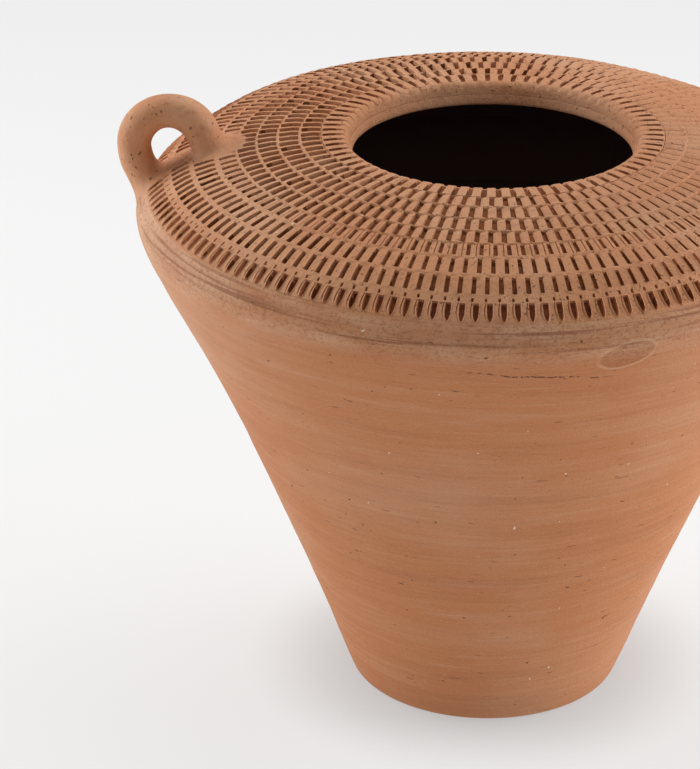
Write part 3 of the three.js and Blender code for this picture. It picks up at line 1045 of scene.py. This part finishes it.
class Clay:
    """Mixes the shader of one clay, all of it from the place on the piece."""

    def __init__(self, name, roughness, specular):
        self.material = bpy.data.materials.new(name)
        self.material.use_nodes = True
        self.tree = self.material.node_tree
        self.shader = self.tree.nodes["Principled BSDF"]
        self.shader.inputs["Roughness"].default_value = roughness
        self.shader.inputs["Specular IOR Level"].default_value = specular
        self.place = self.tree.nodes.new("ShaderNodeTexCoord").outputs["Object"]
        self.axes = self.node("ShaderNodeSeparateXYZ", [self.place]).outputs

    def node(self, kind, inputs=(), **settings):
        """A new node whose first inputs are joined to sockets or set to values. None is left."""
        new = self.tree.nodes.new(kind)
        for key, value in settings.items():
            setattr(new, key, value)
        for socket, value in zip(new.inputs, inputs):
            if isinstance(value, bpy.types.NodeSocket):
                self.tree.links.new(value, socket)
            elif value is not None:
                socket.default_value = value
        return new

    def maths(self, operation, *values):
        return self.node("ShaderNodeMath", values, operation=operation).outputs[0]

    def noise(self, hills, detail=2.0, roughness=0.5):
        """Noise from 0 to 1 with about so many hills to the metre along each axis."""
        stretched = self.node("ShaderNodeVectorMath", [self.place, hills], operation="MULTIPLY")
        new = self.node("ShaderNodeTexNoise")
        self.tree.links.new(stretched.outputs[0], new.inputs["Vector"])
        new.inputs["Scale"].default_value = 1.0
        new.inputs["Detail"].default_value = detail
        new.inputs["Roughness"].default_value = roughness
        return new.outputs[0]

    def between(self, value, low, high, start=0.0, end=1.0):
        """Goes softly from start to end as the value goes from low to high."""
        inputs = [value, low, high, start, end]
        ramp = self.node("ShaderNodeMapRange", inputs, interpolation_type="SMOOTHSTEP")
        return ramp.outputs[0]

    def near(self, value, middle, half):
        """1 where the value is within half of the middle, fading out."""
        away = self.maths("ABSOLUTE", self.maths("SUBTRACT", value, middle))
        return self.between(away, half * 0.5, half, 1.0, 0.0)

    def both(self, first, second):
        return self.maths("MULTIPLY", first, second)

    def lay(self, under, over, share):
        """Lays one colour over another. Colours are sockets or linear values."""
        # a Mix node of colours takes its share at 0 and its colours at 6 and 7, and gives them at 2
        new = self.node("ShaderNodeMix", data_type="RGBA")
        for socket, value in ((new.inputs[0], share), (new.inputs[6], under), (new.inputs[7], over)):
            if isinstance(value, bpy.types.NodeSocket):
                self.tree.links.new(value, socket)
            else:
                socket.default_value = value
        return new.outputs[2]

    def finish(self, colour, heights):
        """Joins the colour, and the bumps as pairs of height and distance."""
        self.tree.links.new(colour, self.shader.inputs["Base Color"])
        normal = None
        for height, distance in heights:
            bump = self.node("ShaderNodeBump")
            bump.inputs["Strength"].default_value = 1.0
            bump.inputs["Distance"].default_value = distance
            self.tree.links.new(height, bump.inputs["Height"])
            if normal:
                self.tree.links.new(normal, bump.inputs["Normal"])
            normal = bump.outputs[0]
        self.tree.links.new(normal, self.shader.inputs["Normal"])
        return self.material


def opaque(colour):
    return (*colour, 1.0)


def known(name, build):
    """The clay of that name, mixed when it is first asked for."""
    return bpy.data.materials.get(name) or build(name, bpy.context.scene.jar_colours)


def wall_clay(name, colours):
    """Bare wall: pale patches over ochre, chalky bloom with painted sheen on the left and right sides,
    wheel streaks, stains, pinholes and lime specks.
    """
    clay = Clay(name, roughness=0.72, specular=0.45)
    x, y, z = clay.axes
    cloud = clay.noise((7, 7, 9), 3, 0.55)
    broad = clay.noise((5, 5, 60), 3, 0.6)
    stroke = clay.noise((16, 16, 330), 4, 0.65)
    drift = clay.noise((14, 14, 45), 3, 0.6)
    grain = clay.noise((900, 900, 900), 2, 0.6)
    mottle = clay.noise((330, 330, 480), 3, 0.7)
    ochre, pale, rust = opaque(colours.ochre), opaque(colours.pale), opaque(colours.rust)
    umber, chalk = opaque(colours.umber), opaque(colours.chalk)
    colour = clay.lay(ochre, pale, clay.between(cloud, 0.42, 0.75, 0.0, 0.28))
    # painted sheen: the upper wall's left and right sides are laid paler in drifting patches, partly chalky
    # bloom and partly the sheen where the side lights graze
    side = clay.between(clay.maths("ABSOLUTE", x), 0.08, 0.24)
    haze_and_side_sheen = clay.both(side, clay.between(z, 0.18, 0.34))
    haze_and_side_sheen = clay.both(haze_and_side_sheen, clay.between(drift, 0.3, 0.7, 0.35, 1.0))
    colour = clay.lay(colour, pale, clay.both(haze_and_side_sheen, 0.55))
    colour = clay.lay(colour, pale, clay.between(broad, 0.50, 0.75, 0.0, 0.18))
    colour = clay.lay(colour, rust, clay.between(broad, 0.50, 0.28, 0.0, 0.20))
    colour = clay.lay(colour, pale, clay.between(stroke, 0.50, 0.75, 0.0, 0.22))
    colour = clay.lay(colour, rust, clay.between(stroke, 0.48, 0.28, 0.0, 0.16))
    # dust settled under the leaves, crossed by redder lines from the wheel
    under_leaves = clay.between(z, 0.345, 0.362)
    dusty = clay.both(under_leaves, clay.between(drift, 0.35, 0.65, 0.15, 0.65))
    colour = clay.lay(colour, pale, dusty)
    line = clay.between(clay.noise((9, 9, 420), 3, 0.6), 0.48, 0.66, 0.0, 0.75)
    colour = clay.lay(colour, rust, clay.both(clay.near(z, 0.3685, 0.012), line))
    colour = clay.lay(colour, rust, clay.both(under_leaves, clay.between(mottle, 0.52, 0.35, 0.0, 0.45)))
    colour = clay.lay(colour, pale, clay.between(mottle, 0.55, 0.75, 0.0, 0.16))
    colour = clay.lay(colour, pale, clay.between(grain, 0.52, 0.75, 0.0, 0.20))
    colour = clay.lay(colour, rust, clay.between(grain, 0.48, 0.25, 0.0, 0.22))
    # pinholes, short scratches and specks of lime
    hole = clay.between(clay.noise((230, 230, 300), 1, 0.5), 0.76, 0.80)
    scratch = clay.between(clay.noise((75, 75, 700), 1, 0.5), 0.765, 0.79)
    hole = clay.maths("MAXIMUM", hole, scratch)
    colour = clay.lay(colour, umber, clay.both(hole, 0.7))
    speck = clay.between(clay.noise((330, 330, 330), 0, 0.5), 0.885, 0.90)
    colour = clay.lay(colour, chalk, speck)
    # the thumbed patch and the crack beside it, at the right of the front
    angle = clay.maths("ADD", clay.maths("ARCTAN2", y, x), math.pi / 2)
    across = clay.maths("MULTIPLY_ADD", angle, THUMB_ROUND, -THUMB_ROUND * THUMB_ANGLE)
    up = clay.maths("MULTIPLY_ADD", z, THUMB_UP, -THUMB_UP * THUMB_HEIGHT)
    up = clay.maths("MULTIPLY_ADD", across, THUMB_SLANT, up)
    far = clay.maths("ADD", clay.both(across, across), clay.both(up, up))
    thumbed = clay.between(far, 0.75, 1.1, 0.5, 0.0)
    colour = clay.lay(colour, rust, clay.both(thumbed, clay.between(mottle, 0.3, 0.6, 1.0, 0.5)))
    edge = clay.both(clay.near(far, 1.08, 0.20), clay.between(drift, 0.45, 0.65, 0.1, 0.5))
    colour = clay.lay(colour, pale, edge)
    wander = clay.both(clay.noise((60, 60, 60), 3, 0.6), 0.005)
    path = clay.maths("ADD", clay.maths("MULTIPLY_ADD", angle, -CRACK_FALL, CRACK_HEIGHT), wander)
    crack = clay.near(clay.maths("SUBTRACT", z, path), 0.0, CRACK_HALF_BREADTH)
    broken = clay.between(clay.noise((330, 330, 120), 2, 0.6), 0.40, 0.56)
    crack = clay.both(clay.both(crack, broken), clay.near(angle, CRACK_MIDDLE, CRACK_HALF_LENGTH))
    colour = clay.lay(colour, umber, clay.both(crack, 0.9))
    pits = clay.maths("ADD", clay.both(hole, -1.0), clay.both(crack, -1.0))
    heights = [(stroke, 0.0006), (mottle, 0.0003), (grain, 0.00035), (pits, 0.0006)]
    return clay.finish(colour, heights)


def stamped_clay(name, colours):
    """Pads and lands of the shoulder, lighter than the painted shade of the pit clay, with random pale
    patches.
    """
    clay = Clay(name, roughness=0.75, specular=0.4)
    cloud = clay.noise((9, 9, 9), 3, 0.55)
    blot = clay.noise((55, 55, 55), 2, 0.5)
    grain = clay.noise((700, 700, 700), 3, 0.65)
    fold = clay.noise((300, 300, 300), 2, 0.7)
    mark = clay.between(clay.noise((430, 430, 430), 1, 0.5), 0.69, 0.74)
    worn = clay.between(cloud, 0.38, 0.70, 0.25, 0.6)
    colour = clay.lay(opaque(colours.ochre), opaque(colours.pale), worn)
    colour = clay.lay(colour, opaque(colours.rust), clay.between(blot, 0.45, 0.25, 0.0, 0.3))
    colour = clay.lay(colour, opaque(colours.rust), clay.between(fold, 0.42, 0.25, 0.0, 0.35))
    colour = clay.lay(colour, opaque(colours.pale), clay.between(grain, 0.52, 0.78, 0.0, 0.35))
    speck = clay.between(clay.noise((300, 300, 300), 0, 0.5), 0.88, 0.90)
    colour = clay.lay(colour, opaque(colours.chalk), speck)
    colour = clay.lay(colour, opaque(colours.umber), clay.both(mark, 0.6))
    return clay.finish(colour, [(fold, 0.0009), (grain, 0.0004), (clay.both(mark, -1.0), 0.0008)])


def pit_shade_clay(name, colours):
    """Floors and sides of the pits, made darker and redder than the pads as painted shade."""
    clay = Clay(name, roughness=0.85, specular=0.25)
    blot = clay.noise((120, 120, 120), 2, 0.6)
    grain = clay.noise((700, 700, 700), 3, 0.65)
    colour = clay.lay(opaque(colours.ochre), opaque(colours.rust), clay.between(blot, 0.3, 0.6, 1.0, 0.65))
    colour = clay.lay(colour, opaque(colours.umber), clay.between(grain, 0.65, 0.3, 0.15, 0.55))
    return clay.finish(colour, [(blot, 0.0010), (grain, 0.0004)])


def handle_clay(name, colours):
    """The pulled coil, smoothed by wet hands, with pinholes."""
    clay = Clay(name, roughness=0.72, specular=0.4)
    cloud = clay.noise((28, 28, 28), 3, 0.55)
    grain = clay.noise((800, 800, 800), 2, 0.6)
    lump = clay.noise((130, 130, 130), 2, 0.5)
    worn = clay.between(cloud, 0.40, 0.70, 0.30, 0.65)
    colour = clay.lay(opaque(colours.ochre), opaque(colours.pale), worn)
    colour = clay.lay(colour, opaque(colours.rust), clay.between(lump, 0.42, 0.25, 0.0, 0.35))
    hole = clay.between(clay.noise((260, 260, 260), 1, 0.5), 0.71, 0.75)
    colour = clay.lay(colour, opaque(colours.umber), clay.both(hole, 0.7))
    colour = clay.lay(colour, opaque(colours.pale), clay.between(grain, 0.52, 0.78, 0.0, 0.25))
    return clay.finish(colour, [(lump, 0.0012), (grain, 0.0004), (clay.both(hole, -1.0), 0.0008)])


def inside_shade_clay(name, colours):
    """The inside, painted dark as shade."""
    clay = Clay(name, roughness=0.9, specular=0.1)
    cloud = clay.noise((30, 30, 60), 3, 0.6)
    colour = clay.lay(opaque(colours.inside_shade_tint), opaque(colours.umber), clay.between(cloud, 0.5, 0.9, 0.0, 0.25))
    return clay.finish(colour, [(cloud, 0.0006)])


# ------------------------------------------------------------------ studio

CAMERA_PLACE = (0.0, -2.2902, 1.2873)
CAMERA_DIP = math.radians(24.955)
CAMERA_YAW = math.radians(2.4935)
FOCAL_PIXELS = 3500
SENSOR = 36.0

WORLD_LIGHT = 0.26
PAPER_SHADE = 0.25
PAPER_GLOW = 0.66  # keeps the paper pale under soft light
FOOT_GLOW = 0.44  # close to the foot, dimmed there as a painted soft shadow
FOOT_SHADE = (0.085, 0.185)  # from the axis, where that shadow starts to fade and is gone
FLOOR_SIZE = 16
FLOOR_DROP = 0.5 * MM  # keeps the paper clear of the underside
LIGHT_AIM = (0, 0, 0.25)


def make_camera():
    deselect()
    bpy.ops.object.camera_add(
        location=CAMERA_PLACE, rotation=(math.pi / 2 - CAMERA_DIP, 0, CAMERA_YAW)
    )
    camera = bpy.context.object
    camera.name = "photo_camera"
    camera.data.sensor_fit = "AUTO"
    camera.data.sensor_width = SENSOR
    camera.data.lens = FOCAL_PIXELS * SENSOR / max(PHOTO_WIDTH, PHOTO_HEIGHT)
    camera.data.clip_end = 50
    bpy.context.scene.camera = camera


def soft_box(name, place, size, power):
    """A rectangle of even light, turned towards the jar, with its power in watts."""
    deselect()
    bpy.ops.object.light_add(type="AREA", location=place)
    lamp = bpy.context.object
    lamp.name = name
    lamp.rotation_euler = (Vector(LIGHT_AIM) - Vector(place)).to_track_quat("-Z", "Y").to_euler()
    lamp.data.shape = "RECTANGLE"
    lamp.data.size, lamp.data.size_y = size
    lamp.data.energy = power


def make_stage():
    """A pale glowing paper floor under even light, its glow dimmed round the foot as a painted shadow, with
    soft boxes beside and behind the jar.
    """
    scene = bpy.context.scene
    scene.view_settings.view_transform = "Standard"
    world = bpy.data.worlds.new("studio")
    scene.world = world
    world.use_nodes = True
    backdrop = world.node_tree.nodes["Background"]
    backdrop.inputs["Color"].default_value = (1, 1, 1, 1)
    backdrop.inputs["Strength"].default_value = WORLD_LIGHT
    deselect()
    bpy.ops.mesh.primitive_plane_add(size=FLOOR_SIZE, location=(0, 0, -FLOOR_DROP))
    floor = bpy.context.object
    floor.name = "studio_floor"
    paper = Clay("studio_paper", roughness=1.0, specular=0.0)
    paper.shader.inputs["Base Color"].default_value = opaque([PAPER_SHADE] * 3)
    paper.shader.inputs["Emission Color"].default_value = (1, 1, 1, 1)
    away = paper.node("ShaderNodeVectorMath", [paper.place], operation="LENGTH").outputs["Value"]
    # painted shadow: the paper glows less near the foot
    glow = paper.between(away, *FOOT_SHADE, FOOT_GLOW, PAPER_GLOW)
    paper.tree.links.new(glow, paper.shader.inputs["Emission Strength"])
    floor.data.materials.append(paper.material)
    soft_box("left_box", (-1.7, 0.35, 0.8), (1.6, 1.6), 23)
    soft_box("right_box", (1.7, 0.20, 0.65), (1.6, 1.3), 27)
    soft_box("top_box", (0.1, 0.9, 2.3), (1.6, 1.2), 22)


# ------------------------------------------------------------------ the add-on


class JAR_OT_set_stage(bpy.types.Operator):
    """Set up the camera, the paper floor and the soft light"""

    bl_idname = "jar.set_stage"
    bl_label = "Set the studio"

    def execute(self, context):
        make_camera()
        make_stage()
        return {"FINISHED"}


class JAR_OT_throw_floor(bpy.types.Operator):
    """Make the floor slab with its drain hole"""

    bl_idname = "jar.throw_floor"
    bl_label = "Throw the floor"

    def execute(self, context):
        floor_slab(context.scene.jar_sizes.drain_radius, [known("terracotta_wall", wall_clay)])
        return {"FINISHED"}


class JAR_OT_throw_walls(bpy.types.Operator):
    """Make the three thrown sections of the wall, foot, body and belly"""

    bl_idname = "jar.throw_walls"
    bl_label = "Throw the walls"

    def execute(self, context):
        thickness = context.scene.jar_sizes.clay_thickness
        clays = [known("terracotta_wall", wall_clay), known("painted_inside_shade", inside_shade_clay)]
        wall_section("foot_thrown", FOOT_TOP.z, 0, "foot_wall", thickness, clays)
        wall_section("body_thrown", BODY_TOP.z, FOOT_TOP.z, "body_wall", thickness, clays)
        wall_section("belly_thrown", BELLY_TOP.z, BODY_TOP.z, "belly_wall", thickness, clays)
        return {"FINISHED"}


class JAR_OT_stamp_shoulder(bpy.types.Operator):
    """Make the shoulder with its courses of roller stamps"""

    bl_idname = "jar.stamp_shoulder"
    bl_label = "Stamp the shoulder"

    def execute(self, context):
        clays = [
            known("terracotta_stamped", stamped_clay),
            known("terracotta_pit_shade", pit_shade_clay),
            known("painted_inside_shade", inside_shade_clay),
            known("terracotta_wall", wall_clay),
        ]
        stamped_shoulder(context.scene.jar_sizes, clays)
        return {"FINISHED"}


class JAR_OT_stamp_lip(bpy.types.Operator):
    """Make the beaded lip of the mouth"""

    bl_idname = "jar.stamp_lip"
    bl_label = "Stamp the lip"

    def execute(self, context):
        clays = [known("terracotta_stamped", stamped_clay), known("terracotta_pit_shade", pit_shade_clay)]
        mouth_lip(context.scene.jar_sizes, clays)
        return {"FINISHED"}


class JAR_OT_pull_handles(bpy.types.Operator):
    """Make the two pulled handles and smear their feet on the jar"""

    bl_idname = "jar.pull_handles"
    bl_label = "Pull the handles"

    def execute(self, context):
        clays = [known("terracotta_handle", handle_clay)]
        handle(0, "handle_left", clays)
        handle(1, "handle_right", clays)
        return {"FINISHED"}


OPERATORS = (
    JAR_OT_set_stage,
    JAR_OT_throw_floor,
    JAR_OT_throw_walls,
    JAR_OT_stamp_shoulder,
    JAR_OT_stamp_lip,
    JAR_OT_pull_handles,
)


class JAR_PT_sidebar(bpy.types.Panel):
    """The jar's sizes, colours and steps"""

    bl_idname = "JAR_PT_sidebar"
    bl_label = "Terracotta jar"
    bl_space_type = "VIEW_3D"
    bl_region_type = "UI"
    bl_category = "Jar"

    def draw(self, context):
        for group in (context.scene.jar_sizes, context.scene.jar_colours):
            column = self.layout.column()
            for name in group.__annotations__:
                column.prop(group, name)
        for operator in OPERATORS:
            self.layout.operator(operator.bl_idname)


CLASSES = (JarSizes, JarColours, *OPERATORS, JAR_PT_sidebar)


def register():
    for item in CLASSES:
        bpy.utils.register_class(item)
    bpy.types.Scene.jar_sizes = PointerProperty(type=JarSizes)
    bpy.types.Scene.jar_colours = PointerProperty(type=JarColours)


def unregister():
    del bpy.types.Scene.jar_colours
    del bpy.types.Scene.jar_sizes
    for item in reversed(CLASSES):
        bpy.utils.unregister_class(item)


def main():
    register()
    bpy.ops.jar.set_stage()
    bpy.ops.jar.throw_floor()
    bpy.ops.jar.throw_walls()
    bpy.ops.jar.stamp_shoulder()
    bpy.ops.jar.stamp_lip()
    bpy.ops.jar.pull_handles()


if __name__ == "__main__":
    main()
